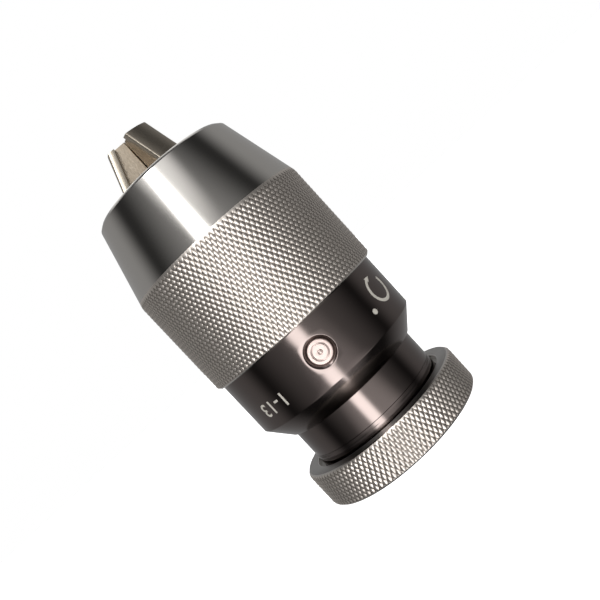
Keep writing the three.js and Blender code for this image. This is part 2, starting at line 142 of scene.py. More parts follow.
class ChuckKnurl(bpy.types.PropertyGroup):
    """Diamond knurls of the hood and the hold ring."""

    hood_teeth: number("Hood teeth", "Grooves of one family round the hood", 120)
    hood_lead: length("Hood pitch", "Pitch of the diamonds along the hood", 2.174)
    hood_deep: length("Hood grooves", "Depth of the deeper grooves on the hood", 0.20)
    hood_shallow: length("Hood cross grooves", "Depth of the crossing grooves on the hood", 0.12)
    ring_teeth: number("Ring teeth", "Grooves of one family round the hold ring", 110)
    ring_lead: length("Ring pitch", "Pitch of the diamonds along the hold ring", 2.32)
    ring_deep: length("Ring grooves", "Depth of the deeper grooves on the ring", 0.29)
    ring_shallow: length("Ring cross grooves", "Depth of the crossing grooves on the ring", 0.25)


class ChuckSizes(bpy.types.PropertyGroup):
    """Edges, grooves and facets of the turned pieces."""

    edge: length("Edge", "Radius of a broken edge", 0.25)
    nose_edge: length("Nose edge", "Chamfer round the rim of the nose", 0.75)
    chamfer: length("Chamfer", "Chamfer at the ends of a knurl", 0.75)
    neck_groove: length("Neck groove", "Depth of the relief in the neck, ahead of the ring", 0.12)
    facets: number("Facets", "Facets round a plain turned piece", 200)
    plug_radius: length("Plug radius", "Radius of the plug that closes the ball filling hole", 2.9)
    recess_radius: length("Recess radius", "Radius of the recess round the plug", 3.65)
    recess_depth: length("Recess depth", "Depth of the recess round the plug", 0.6)
    mark_height: length("Figures", "Height of the capacity figures", 3.5)


class ChuckFinishes(bpy.types.PropertyGroup):
    """Colours of the metals, seen square on."""

    polished: colour("Polished steel", "Turned and polished steel", "#CDC9C4")
    knurled: colour("Knurled steel", "Rolled diamond knurl", "#E4DCD4")
    blackened: colour("Blackened steel", "Glossy blackened steel", "#6A615E")
    ground: colour("Ground steel", "Ground and hardened steel of the jaws", "#D2C9BB")
    hardened: colour("Hardened steel", "Hardened and oiled steel", "#8A8480")
    bearing: colour("Bearing steel", "Lapped balls", "#DCDAD8")
    faced: colour("Faced steel", "Turned end faces", "#9A9794")
    plug: colour("Plug face", "Faced end of the filling plug", "#C4B3AD")
    milled: colour("Milled steel", "Sides of a jaw's web", "#CFC3B2")
    # Colour of the recess round the plug: dark oxide, with painted shade of the recess on top of it.
    oxide: colour("Oxide", "Bottom of the recess round the plug", "#3B2E2A")
    etched: colour("Etched marks", "Frosted marks on the sleeve", "#C4BEB3")
    floor: colour("Floor", "Matt pale floor", "#FFFFFF")


# ---- mesh helpers ---------------------------------------------------------------------------------


def rounded(corners, steps=4):
    """Outline of (radius, height) points with an arc of the given radius at each corner."""
    outline = []
    for i, (radius, height, fillet) in enumerate(corners):
        here = Vector((radius, height))
        if not fillet:
            outline.append(here)
            continue
        to_last = (Vector(corners[i - 1][:2]) - here).normalized()
        to_next = (Vector(corners[(i + 1) % len(corners)][:2]) - here).normalized()
        half = to_last.angle(to_next) / 2
        centre = here + (to_last + to_next).normalized() * (fillet / sin(half))
        start = here + to_last * (fillet / tan(half)) - centre
        end = here + to_next * (fillet / tan(half)) - centre
        turn = atan2(start.x * end.y - start.y * end.x, start.dot(end))
        for k in range(steps + 1):
            outline.append(centre + Matrix.Rotation(turn * k / steps, 2) @ start)
    return outline


def grid_points(radii, heights, angles):
    """Points of a grid wrapped round the axis, one row for each height."""
    radii = np.broadcast_to(np.asarray(radii, float), (len(heights), len(angles)))
    heights = np.broadcast_to(np.asarray(heights, float)[:, None], radii.shape)
    points = np.stack([radii * np.cos(angles), radii * np.sin(angles), heights], axis=-1)
    return points.reshape(-1, 3)


def grid_quads(rows, columns, closed=True):
    """Quads between neighbouring rows of a wrapped grid; a closed one joins its last row to its first."""
    last = rows if closed else rows - 1
    row, column = np.meshgrid(np.arange(last), np.arange(columns), indexing="ij")
    ahead = (column + 1) % columns
    above = (row + 1) % rows
    here, over = row * columns, above * columns
    corners = [here + column, here + ahead, over + ahead, over + column]
    return np.stack(corners, axis=-1).reshape(-1, 4)


def steps_round(count, first=0.0):
    return first + np.linspace(0, 2 * pi, count, endpoint=False)


def add_mesh(name, points, faces, sharp=30.0):
    """New closed mesh object with outward faces, smooth except across edges sharper than an angle."""
    mesh = bpy.data.meshes.new(name)
    mesh.from_pydata(np.asarray(points).tolist(), [], [list(face) for face in faces])
    solid = bmesh.new()
    solid.from_mesh(mesh)
    bmesh.ops.remove_doubles(solid, verts=solid.verts, dist=MERGE)
    bmesh.ops.recalc_face_normals(solid, faces=solid.faces)
    solid.to_mesh(mesh)
    solid.free()
    piece = bpy.data.objects.new(name, mesh)
    bpy.context.scene.collection.objects.link(piece)
    smooth(piece, sharp)
    return piece


def smooth(piece, sharp):
    piece.data.shade_smooth()
    piece.data.set_sharp_from_angle(angle=radians(sharp))


def turned(name, corners, facets, first=0.0, sharp=30.0):
    """Closed turned piece from (radius, height, fillet) corners round its section."""
    outline = rounded(corners)
    angles = steps_round(facets, first)
    points = grid_points([[p.x] for p in outline], [p.y for p in outline], angles)
    return add_mesh(name, points, grid_quads(len(outline), facets), sharp)


def apply_modifiers(piece):
    """Fixes the result of a piece's modifiers into its mesh."""
    bpy.context.view_layer.update()
    evaluated = piece.evaluated_get(bpy.context.evaluated_depsgraph_get())
    mesh = bpy.data.meshes.new_from_object(evaluated)
    piece.modifiers.clear()
    piece.data = mesh


def combine(piece, other, operation):
    """Cuts another solid out of a piece, or joins it on, and removes the other."""
    boolean = piece.modifiers.new(operation, "BOOLEAN")
    boolean.operation = operation
    boolean.object = other
    boolean.solver = "EXACT"
    apply_modifiers(piece)
    bpy.data.objects.remove(other)


def break_edges(piece, width, sharp=30.0, segments=2):
    """Breaks every sharp edge of a piece."""
    bevel = piece.modifiers.new("edges", "BEVEL")
    bevel.width = width
    bevel.segments = segments
    bevel.angle_limit = radians(sharp)
    bevel.use_clamp_overlap = True
    apply_modifiers(piece)
    smooth(piece, sharp)


def finish_piece(piece, body, nodes, slot, *materials):
    """Gives a piece its materials, hangs it on the empty of the body that it rides on, and hides the CAD
    nodes that it stands for.
    """
    for material in materials:
        piece.data.materials.append(material)
    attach(piece, body)
    if nodes:
        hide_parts(*nodes)


# ---- material helpers -----------------------------------------------------------------------------


def linear(hex_colour):
    """Linear RGBA of an sRGB hex value."""
    digits = hex_colour.lstrip("#")
    channels = [int(digits[i:i + 2], 16) / 255 for i in (0, 2, 4)]
    return (*[c / 12.92 if c <= 0.04045 else ((c + 0.055) / 1.055) ** 2.4 for c in channels], 1.0)


def add_node(tree, kind, inputs=None, **settings):
    """Adds a node; each of its inputs gets a value, or a link from another node's output."""
    node = tree.nodes.new(kind)
    for setting, value in settings.items():
        setattr(node, setting, value)
    for socket, value in (inputs or {}).items():
        if isinstance(value, bpy.types.NodeSocket):
            tree.links.new(value, node.inputs[socket])
        else:
            node.inputs[socket].default_value = value
    return node


def start_material(name):
    """New material with only an output; returns it and its node tree."""
    material = bpy.data.materials.new(name)
    material.use_nodes = True
    material.node_tree.nodes.clear()
    return material, material.node_tree


def end_material(tree, **sockets):
    """Closes a material with a metal shader."""
    names = {key: key.replace("_", " ").title() for key in sockets}
    names["ior"] = "IOR"
    shader = add_node(
        tree,
        "ShaderNodeBsdfPrincipled",
        {names[key]: value for key, value in sockets.items()},
    )
    add_node(tree, "ShaderNodeOutputMaterial", {"Surface": shader.outputs["BSDF"]})


def stretched_noise(tree, grain, stretch, detail=2.0):
    """Noise whose grain is a size across the marks and stretched along them, axis by axis."""
    place = add_node(tree, "ShaderNodeTexCoord")
    scale = [1 / (grain * factor) for factor in stretch]
    mapped = add_node(
        tree,
        "ShaderNodeMapping",
        {"Vector": place.outputs["Object"], "Scale": scale},
    )
    return add_node(
        tree,
        "ShaderNodeTexNoise",
        {"Vector": mapped.outputs["Vector"], "Scale": 1.0, "Detail": detail, "Roughness": 0.55},
    ).outputs["Fac"]


def between(tree, value, low, high):
    """Maps a 0 to 1 value to a range."""
    return add_node(
        tree,
        "ShaderNodeMapRange",
        {"Value": value, "To Min": low, "To Max": high},
    ).outputs["Result"]


def bump(tree, height, depth, strength=1.0):
    """Normal from a height pattern of a real depth."""
    return add_node(
        tree,
        "ShaderNodeBump",
        {"Height": height, "Strength": strength, "Distance": depth},
    ).outputs["Normal"]


def blend_colours(tree, factor, low, high):
    """Colour between two hex values."""
    mixed = add_node(
        tree,
        "ShaderNodeMix",
        {"Factor": factor, "A": linear(low), "B": linear(high)},
        data_type="RGBA",
    )
    return mixed.outputs["Result"]


# ---- materials ------------------------------------------------------------------------------------

ROUND_MARKS = (60, 60, 1)         # stretch of marks that run round the axis

# Duller second colour of each metal that has two.
# Colour at the bottom of each knurl groove, darker than the tips.
GROOVE_DARK = "#5C524B"
GROUND_LOW = "#A89D8D"
MILLED_LOW = "#A09381"
OIL_FILM = "#5C5753"
GREASE_FILM = "#BDB7A6"
FROST_LOW = "#A3A19B"


def polished_steel(finishes):
    """Turned and polished steel: fine marks run round it, so a highlight is a soft streak along it."""
    material, tree = start_material("turned_polished_steel")
    marks = stretched_noise(tree, 0.30 * MM, ROUND_MARKS)
    haze = stretched_noise(tree, 6 * MM, (1, 1, 1), 3.0)
    end_material(
        tree,
        base_color=linear(finishes.polished),
        metallic=1.0,
        roughness=between(tree, haze, 0.12, 0.16),
        normal=bump(tree, marks, 0.004 * MM, 0.5),
    )
    return material


def knurled_steel(finishes):
    """Steel with a rolled knurl: rounded tips worn bright, and the steel darker and rougher towards the
    bottom of each groove.
    """
    material, tree = start_material("rolled_knurl_steel")
    # Nearness to a groove's bottom, from the knurl's mesh, darkens the colour and raises the roughness.
    groove = add_node(tree, "ShaderNodeAttribute", attribute_name="groove").outputs["Fac"]
    grit = stretched_noise(tree, 0.35 * MM, (1, 1, 1))
    end_material(
        tree,
        base_color=blend_colours(tree, groove, finishes.knurled, GROOVE_DARK),
        metallic=1.0,
        roughness=between(tree, groove, 0.42, 0.60),
        normal=bump(tree, grit, 0.02 * MM, 0.5),
    )
    return material


def turned_face(finishes):
    """Faced end of a turned steel piece: close rings from the tool spread each light out along a radius."""
    material, tree = start_material("faced_turned_steel")
    around = add_node(tree, "ShaderNodeTangent", direction_type="RADIAL", axis="Z").outputs["Tangent"]
    haze = stretched_noise(tree, 3 * MM, (1, 1, 1), 3.0)
    end_material(
        tree,
        base_color=linear(finishes.faced),
        metallic=1.0,
        roughness=between(tree, haze, 0.30, 0.38),
        anisotropic=0.85,
        anisotropic_rotation=0.25,
        tangent=around,
    )
    return material


def blackened_steel(finishes):
    """Polished steel with a thin black oxide: dark but as glossy as the bare metal."""
    material, tree = start_material("blackened_polished_steel")
    marks = stretched_noise(tree, 0.35 * MM, ROUND_MARKS)
    haze = stretched_noise(tree, 4 * MM, (1, 1, 1), 3.0)
    end_material(
        tree,
        base_color=linear(finishes.blackened),
        metallic=1.0,
        roughness=between(tree, haze, 0.12, 0.17),
        normal=bump(tree, marks, 0.003 * MM, 0.4),
    )
    return material


def ground_steel(finishes):
    """Hardened steel ground along its length: matt, with straight scratches."""
    material, tree = start_material("ground_hardened_steel")
    scratches = stretched_noise(tree, 0.25 * MM, (1, 1, 40))
    end_material(
        tree,
        base_color=blend_colours(tree, scratches, finishes.ground, GROUND_LOW),
        metallic=1.0,
        roughness=between(tree, scratches, 0.28, 0.42),
        normal=bump(tree, scratches, 0.01 * MM, 0.6),
    )
    return material


def oxide_and_painted_shade_recess(finishes):
    """Bottom of the recess round the plug: matt oxide and old oil, darkened further as painted shade, so the
    gap reads as a dark ring.
    """
    material, tree = start_material("oxide_and_painted_shade_in_the_plug_recess")
    end_material(tree, base_color=linear(finishes.oxide), metallic=0.6, roughness=0.6)
    return material


def milled_steel(finishes):
    """Sides of a jaw's web as the cutter left them: duller than the ground faces, and slightly rough."""
    material, tree = start_material("milled_hardened_steel")
    grit = stretched_noise(tree, 0.4 * MM, (1, 1, 2), 3.0)
    end_material(
        tree,
        base_color=blend_colours(tree, grit, finishes.milled, MILLED_LOW),
        metallic=1.0,
        roughness=between(tree, grit, 0.42, 0.6),
        normal=bump(tree, grit, 0.04 * MM, 0.7),
    )
    return material


def faced_steel(finishes):
    """End face of a turned plug: bright rings left by the tool."""
    material, tree = start_material("faced_steel")
    rings = stretched_noise(tree, 0.2 * MM, (1, 1, 1))
    end_material(
        tree,
        base_color=linear(finishes.plug),
        metallic=1.0,
        roughness=between(tree, rings, 0.42, 0.55),
        normal=bump(tree, rings, 0.01 * MM, 0.5),
    )
    return material


def hardened_steel(finishes):
    """Hardened and oiled steel, a dull dark grey."""
    material, tree = start_material("hardened_oiled_steel")
    film = stretched_noise(tree, 1.5 * MM, (1, 1, 1), 4.0)
    end_material(
        tree,
        base_color=blend_colours(tree, film, finishes.hardened, OIL_FILM),
        metallic=1.0,
        roughness=between(tree, film, 0.25, 0.45),
        normal=bump(tree, film, 0.02 * MM, 0.4),
    )
    return material


def bearing_steel(finishes):
    """Lapped chrome steel balls, all but mirror bright under a film of grease."""
    material, tree = start_material("lapped_bearing_steel")
    film = stretched_noise(tree, 0.8 * MM, (1, 1, 1), 3.0)
    end_material(
        tree,
        base_color=blend_colours(tree, film, finishes.bearing, GREASE_FILM),
        metallic=1.0,
        roughness=between(tree, film, 0.05, 0.14),
    )
    return material


def etched_steel(finishes):
    """Electro-etched marks: frosted, so they stay pale where the gloss round them is dark."""
    material, tree = start_material("etched_frosted_steel")
    frost = stretched_noise(tree, 0.25 * MM, (1, 1, 1), 3.0)
    end_material(
        tree,
        base_color=blend_colours(tree, frost, finishes.etched, FROST_LOW),
        metallic=0.3,
        roughness=0.6,
    )
    return material


# ---- knurled pieces -------------------------------------------------------------------------------


HOOD_PARTS = 6                    # grid steps to a tooth
RING_PARTS = 8


class Knurl:
    """Two crossing families of grooves, from sharp at a roundness of 0 to rounded at 1.  A grid step is one
    part of a tooth, both round the piece and along it, so each groove's bottom runs through the points."""

    def __init__(self, teeth, lead, rising, falling, parts, roundness):
        self.roundness = roundness
        self.parts = parts
        self.step = lead / parts
        self.depths = (rising, falling)
        self.columns = teeth * parts

    def depth(self, row):
        """How far each point of a row lies below the knurl's radius, and how near it is to a groove's
        bottom, from 0 to 1."""
        column = np.arange(self.columns)
        cuts = []
        bottoms = []
        for deepest, phase in zip(self.depths, (column - row, column + row)):
            across = np.abs(phase % self.parts / self.parts - 0.5) * 2
            rolled = 1 - np.cos(across * pi / 2)
            cuts.append(deepest * (across + (rolled - across) * self.roundness))
            bottoms.append(np.clip(across * 3 - 2, 0, 1))
        sharp = np.maximum(*cuts)
        pillow = cuts[0] + cuts[1]
        return sharp + (pillow - sharp) * self.roundness, np.maximum(*bottoms)

    def rows(self, low, high):
        """Numbers and heights of the rows between two heights."""
        count = ceil((high - low) / self.step)
        return [(row, low + row * self.step) for row in range(1, count)]


def knurled(name, knurl, crest, profile):
    """Closed knurled piece.  profile lists (radius, height, row) up the outside and down the inside; where
    row is a number, the surface there is also cut by that row of the knurl."""
    radii = np.empty((len(profile), knurl.columns))
    groove = np.zeros_like(radii)
    for i, (limit, _, row) in enumerate(profile):
        radii[i] = limit
        if row is not None:
            depth, bottom = knurl.depth(row)
            radii[i] = np.minimum(limit, crest - depth)
            groove[i] = np.where(radii[i] < limit, bottom, 0.0)
    heights = [height for _, height, _ in profile]
    points = grid_points(radii, heights, steps_round(knurl.columns))
    rows = np.array([-1 if row is None else row for _, _, row in profile])
    cut = (np.minimum(rows, np.roll(rows, -1)) >= 0).repeat(knurl.columns)
    columns = np.tile(np.arange(knurl.columns), len(profile))
    falling = (columns + 1 + rows.repeat(knurl.columns)) % knurl.parts == 0
    a, b, c, d = grid_quads(len(profile), knurl.columns).T
    faces = np.stack([a, b, c, d], axis=-1)[~cut].tolist()
    one_way, other_way = cut & ~falling, cut & falling
    folds = ((one_way, (a, b, c)), (one_way, (a, c, d)), (other_way, (a, b, d)), (other_way, (b, c, d)))
    for pick, triangle in folds:
        faces += np.stack(triangle, axis=-1)[pick].tolist()
    piece = add_mesh(name, points, faces, 60.0)
    layer = piece.data.attributes.new("groove", "FLOAT", "POINT")
    layer.data.foreach_set("value", groove.ravel().astype(np.float32))
    for face in piece.data.polygons:
        knurled_face = len(face.vertices) == 3
        face.material_index = 1 if knurled_face else 2 if abs(face.normal.z) > 0.95 else 0
    return piece


def build_hood(knurl_sizes, sizes):
    """Hood: knurled grip, plain cone, and inside it the cone for the jaws and the seat for the sleeve."""
    knurl = Knurl(
        knurl_sizes.hood_teeth,
        knurl_sizes.hood_lead,
        knurl_sizes.hood_shallow,
        knurl_sizes.hood_deep,
        HOOD_PARTS,
        roundness=1.0,
    )
    slope = (HOOD_RADIUS - NOSE_RADIUS) / (HOOD_FRONT - SHOULDER)
    runs_out = SHOULDER + (knurl_sizes.hood_deep + knurl_sizes.hood_shallow) / slope
    profile = [(HOOD_RADIUS - sizes.chamfer, HOOD_REAR, None)]
    for row, height in knurl.rows(HOOD_REAR, runs_out + knurl.step):
        chamfer = HOOD_RADIUS - sizes.chamfer + height - HOOD_REAR
        cone = HOOD_RADIUS - (height - SHOULDER) * slope
        profile.append((min(HOOD_RADIUS, chamfer, cone), height, row))
    lap = SLEEVE_RADIUS + RUN_FIT
    lap_height = HOOD_REAR + 1 * MM
    seat = 22.3 * MM
    bore = 21 * MM
    bore_height = JAW_TIP - (bore - BACK_FIT - JAW_TIP_BACK) / JAW_SLOPE
    rest = rounded([
        (profile[-1][0], profile[-1][1], 0),
        (NOSE_RADIUS + sizes.nose_edge * slope, HOOD_FRONT - sizes.nose_edge, 0.12 * MM),
        (NOSE_RADIUS - sizes.nose_edge, HOOD_FRONT, 0.12 * MM),
        (jaw_back(HOOD_FRONT) + BACK_FIT, HOOD_FRONT, sizes.edge),
        (bore, bore_height, 0),
        (bore, GUIDE_REAR, 0),
        (seat, GUIDE_REAR, 0),
        (seat, lap_height, 0),
        (lap, lap_height, 0),
        (lap, HOOD_REAR, 0),
    ])
    profile += [(point.x, point.y, None) for point in rest[1:]]
    return knurled("hood_shell", knurl, HOOD_RADIUS, profile)


def build_ring(knurl_sizes, sizes):
    """Hold ring: knurled rim between two chamfers, with a recess round the neck in its front face."""
    knurl = Knurl(
        knurl_sizes.ring_teeth,
        knurl_sizes.ring_lead,
        knurl_sizes.ring_deep,
        knurl_sizes.ring_shallow,
        RING_PARTS,
        roundness=0.2,
    )
    rim = RING_RADIUS - sizes.chamfer
    profile = [(rim, RING_REAR, None)]
    for row, height in knurl.rows(RING_REAR, RING_FRONT):
        chamfer = rim + min(height - RING_REAR, RING_FRONT - height)
        profile.append((min(RING_RADIUS, chamfer), height, row))
    bore = NECK_RADIUS + 0.1 * MM
    recess = NECK_RADIUS + 1.1 * MM
    recess_height = RING_FRONT - 1.4 * MM
    inside = rounded([
        (rim, RING_FRONT, 0),
        (recess, RING_FRONT, sizes.edge),
        (recess, recess_height, 0),
        (bore, recess_height, 0),
        (bore, RING_REAR, sizes.edge),
    ])
    profile += [(point.x, point.y, None) for point in inside]
    return knurled("hold_ring_rim", knurl, RING_RADIUS, profile)


# ---- bearing and body -----------------------------------------------------------------------------


def race_arc(surface, steps=14):
    """Section of a ball groove where it cuts a cylinder, from its front to its rear, on the bore side."""
    section = BALL_RADIUS + RUN_FIT
    limit = np.arccos((surface - RACE_RADIUS) / section)
    turns = np.linspace(limit, -limit, steps)
    return [(RACE_RADIUS + section * cos(t), BALL_HEIGHT + section * sin(t), 0) for t in turns]


def plug_frame():
    """Frame of the filling plug: local Z points out of the sleeve and local Y to the nose."""
    outward = Vector((cos(PLUG_ANGLE), sin(PLUG_ANGLE), 0))
    up = Vector((0, 0, 1))
    axes = Matrix((up.cross(outward), up, outward)).transposed()
    return Matrix.Translation((0, 0, BALL_HEIGHT)) @ axes.to_4x4()


def recess_patch(points, faces, rim_loop, sizes):
    """Fills the square hole that the sleeve's grid leaves round the plug: the square runs into a round rim
    with a rolled edge, a wall and a floor.  The rings of points lie on the sleeve's own curve."""
    rolled = 0.22 * MM
    steps = 4
    recess = sizes.recess_radius
    sections = [(recess + rolled, 0, 0.35), (recess + rolled, 0, 0.7)]
    for k in range(steps + 1):
        turn = pi / 2 * k / steps
        sections.append((recess + rolled * (1 - sin(turn)), rolled * (1 - cos(turn)), 1.0))
    floor = sizes.recess_depth
    sections += [(recess, floor - 0.05 * MM, 1.0), (recess - 0.05 * MM, floor, 1.0)]
    sections += [(sizes.plug_radius, floor + PLUG_SUNK, 1.0), (recess * 0.4, floor + PLUG_SUNK, 1.0)]
    square = []
    for x, y, z in points[rim_loop]:
        turned_by = (atan2(y, x) - PLUG_ANGLE + pi) % (2 * pi) - pi
        square.append((turned_by * SLEEVE_RADIUS, z - BALL_HEIGHT))
    grown = points.tolist()
    last = list(rim_loop)
    for radius, depth, blend in sections:
        ring = []
        for along, height in square:
            circle = radius / hypot(along, height)
            scale = 1 + (circle - 1) * blend
            turn = PLUG_ANGLE + along * scale / SLEEVE_RADIUS
            out = SLEEVE_RADIUS - depth
            ring.append(len(grown))
            grown.append((out * cos(turn), out * sin(turn), BALL_HEIGHT + height * scale))
        for k in range(len(ring)):
            after = (k + 1) % len(ring)
            faces.append((last[k], last[after], ring[after], ring[k]))
        last = ring
    faces.append(tuple(last))
    return grown, faces


def build_sleeve(sizes):
    """Sleeve: black band with a rear taper, the ball groove inside, and the recess for the filling plug."""
    facets = sizes.facets
    half = 8
    cell = 2 * pi * SLEEVE_RADIUS / facets
    band_rear = SLEEVE_REAR + 5.4 * MM
    shoulder = HOOD_REAR + 0.7 * MM
    spigot = SLEEVE_BORE + 3.42 * MM
    land = SLEEVE_BORE + 0.6 * MM
    outline = rounded([
        (SLEEVE_BORE, SLEEVE_REAR, 0.12 * MM),
        (land, SLEEVE_REAR, 0.12 * MM),
        (SLEEVE_RADIUS, band_rear, sizes.edge),
        *[(SLEEVE_RADIUS, BALL_HEIGHT + m * cell, 0) for m in range(-half, half + 1)],
        (SLEEVE_RADIUS, shoulder, 0),
        (spigot, shoulder, 0),
        (spigot, SLEEVE_FRONT, sizes.edge),
        (SLEEVE_BORE, SLEEVE_FRONT, sizes.edge),
        *race_arc(SLEEVE_BORE),
    ])
    angles = steps_round(facets, PLUG_ANGLE + pi)
    points = grid_points([[p.x] for p in outline], [p.y for p in outline], angles)
    corner = Vector((SLEEVE_RADIUS, BALL_HEIGHT - half * cell))
    first_row = min(range(len(outline)), key=lambda i: (outline[i] - corner).length)
    rows = range(first_row, first_row + 2 * half)
    columns = range(facets // 2 - half, facets // 2 + half)
    faces = []
    for i, quad in enumerate(grid_quads(len(outline), facets).tolist()):
        row, column = divmod(i, facets)
        if row not in rows or column not in columns:
            faces.append(tuple(quad))
    sides = (
        [(rows.start, column) for column in columns],
        [(row, columns.stop) for row in rows],
        [(rows.stop, column + 1) for column in reversed(columns)],
        [(row + 1, columns.start) for row in reversed(rows)],
    )
    rim_loop = [row * facets + column for side in sides for row, column in side]
    points, faces = recess_patch(points, faces, rim_loop, sizes)
    sleeve = add_mesh("sleeve_band", points, faces)
    hole = turned(
        "filling_hole",
        [(0, RACE_RADIUS, 0), (sizes.plug_radius + 0.1 * MM, RACE_RADIUS, 0),
         (sizes.plug_radius + 0.1 * MM, SLEEVE_RADIUS, 0), (0, SLEEVE_RADIUS, 0)],
        SMALL_FACETS,
    )
    hole.data.transform(plug_frame())
    combine(sleeve, hole, "DIFFERENCE")
    smooth(sleeve, 30)
    plug_way = PLUG_CENTRE.normalized()
    # Faces sunk round the plug take the second material: oxide darkened as painted shade of the recess.
    for face in sleeve.data.polygons:
        middle = face.center - PLUG_CENTRE
        from_axis = (middle - plug_way * middle.dot(plug_way)).length
        sunk = face.center.dot(plug_way) < SLEEVE_RADIUS - 0.25 * MM
        face.material_index = int(sunk and from_axis < sizes.recess_radius + 0.1 * MM)
    return sleeve


def build_plug(sizes):
    """Filling plug: faced end with a ring groove and a centre mark, and a broken edge."""
    outer = SLEEVE_RADIUS - PLUG_SUNK
    inner = RACE_RADIUS + BALL_RADIUS + 2 * RUN_FIT
    radius = sizes.plug_radius
    ring = 1.9 * MM
    plug = turned(
        "filler_plug_face",
        [
            (0, inner, 0),
            (radius, inner, 0.1 * MM),
            (radius, outer, 0.22 * MM),
            (ring + 0.22 * MM, outer, 0.05 * MM),
            (ring, outer - 0.14 * MM, 0.05 * MM),
            (ring - 0.22 * MM, outer - 0.02 * MM, 0.05 * MM),
            (0.62 * MM, outer - 0.02 * MM, 0.05 * MM),
            (0.42 * MM, outer - 0.2 * MM, 0.05 * MM),
            (0.16 * MM, outer - 0.1 * MM, 0.05 * MM),
            (0, outer - 0.08 * MM, 0),
        ],
        SMALL_FACETS,
    )
    plug.data.transform(plug_frame())
    return plug


def thread_depth(heights, angles, lead, flank, crest):
    """Left-hand thread: 1 on the crest and 0 at the root, for rows of heights."""
    phase = (np.asarray(heights)[:, None] / lead + angles[None, :] / (2 * pi)) % 1.0
    from_crest = np.abs(phase - 0.5) * lead
    return np.clip((crest / 2 + flank - from_crest) / flank, 0.0, 1.0)


THREAD_LEAD = 4 * MM
THREAD_DEPTH = 2 * MM
THREAD_CREST = 1.3 * MM
THREAD_FLANK = THREAD_DEPTH * tan(radians(15))
THREAD_FIT = 0.25 * MM
SCREW_MAJOR = HEAD_RADIUS - 3.5 * MM
THREAD_ROW = 0.2 * MM


def threaded(name, before, after, low, high, inside, facets):
    """Closed turned piece with a thread between two heights.  before and after are the corners of the rest
    of its section, as they come before and after the thread."""
    count = ceil(abs(high - low) / THREAD_ROW)
    heights = np.linspace(low, high, count)
    angles = steps_round(facets)
    crest = THREAD_CREST + (2 * THREAD_FIT if inside else 0)
    rise = thread_depth(heights, angles, THREAD_LEAD, THREAD_FLANK, crest)
    root = SCREW_MAJOR - THREAD_DEPTH + (THREAD_FIT if inside else 0)
    thread = root + THREAD_DEPTH * rise
    first, last = rounded(before), rounded(after)
    round_it = np.ones(facets)
    radii = np.vstack([
        np.outer([p.x for p in first], round_it),
        thread,
        np.outer([p.x for p in last], round_it),
    ])
    levels = [p.y for p in first] + heights.tolist() + [p.y for p in last]
    return add_mesh(name, grid_points(radii, levels, angles), grid_quads(len(levels), facets), 40)


def build_body(sizes):
    """Body: neck with its relief, the taper socket from the rear, and the chamber with the nut thread."""
    socket_large = 14.199 / 2 * MM
    socket_small = 12.385 / 2 * MM
    socket_depth = 22.225 * MM
    chamber = socket_depth + 1.8 * MM
    knockout = 3 * MM
    relief = NECK_RADIUS - sizes.neck_groove
    relief_rear = RING_FRONT + 1.2 * MM
    relief_front = relief_rear + 1.1 * MM
    groove = [(2 * RACE_RADIUS - r, z, 0) for r, z, _ in reversed(race_arc(2 * RACE_RADIUS - NECK_RADIUS))]
    outside = [
        (knockout, chamber, 0),
        (knockout, socket_depth, 0),
        (socket_small, socket_depth, 0),
        (socket_large, BODY_REAR, sizes.edge),
        (NECK_RADIUS, BODY_REAR, 0.5 * MM),
        (NECK_RADIUS, relief_rear, 0.05 * MM),
        (relief, relief_rear + 0.15 * MM, 0.05 * MM),
        (relief, relief_front - 0.15 * MM, 0.05 * MM),
        (NECK_RADIUS, relief_front, 0.05 * MM),
        *groove,
        (NECK_RADIUS, BODY_FRONT, 0.5 * MM),
        (SCREW_MAJOR + THREAD_FIT, BODY_FRONT, 0),
    ]
    return threaded("chuck_body_neck", outside, [], BODY_FRONT - THREAD_ROW, chamber, True, sizes.facets)


# ---- jaws, guide and screw ------------------------------------------------------------------------


def slab(name, corners, thickness, angle):
    """Flat slab about a plane through the axis, from (radius, height) corners, turned to an angle."""
    points = [(x, side * thickness / 2, z) for side in (-1, 1) for x, z in corners]
    count = len(corners)
    faces = [tuple(range(count)), tuple(range(count, 2 * count))]
    faces += [(k, (k + 1) % count, count + (k + 1) % count, count + k) for k in range(count)]
    piece = add_mesh(name, points, faces)
    piece.data.transform(Matrix.Rotation(angle, 4, "Z"))
    return piece


def jaw_angle(body):
    """Direction in which a jaw's back faces, from the way that the jaw slides."""
    x, y, _ = JAW_AXES[body]
    return atan2(y, x)


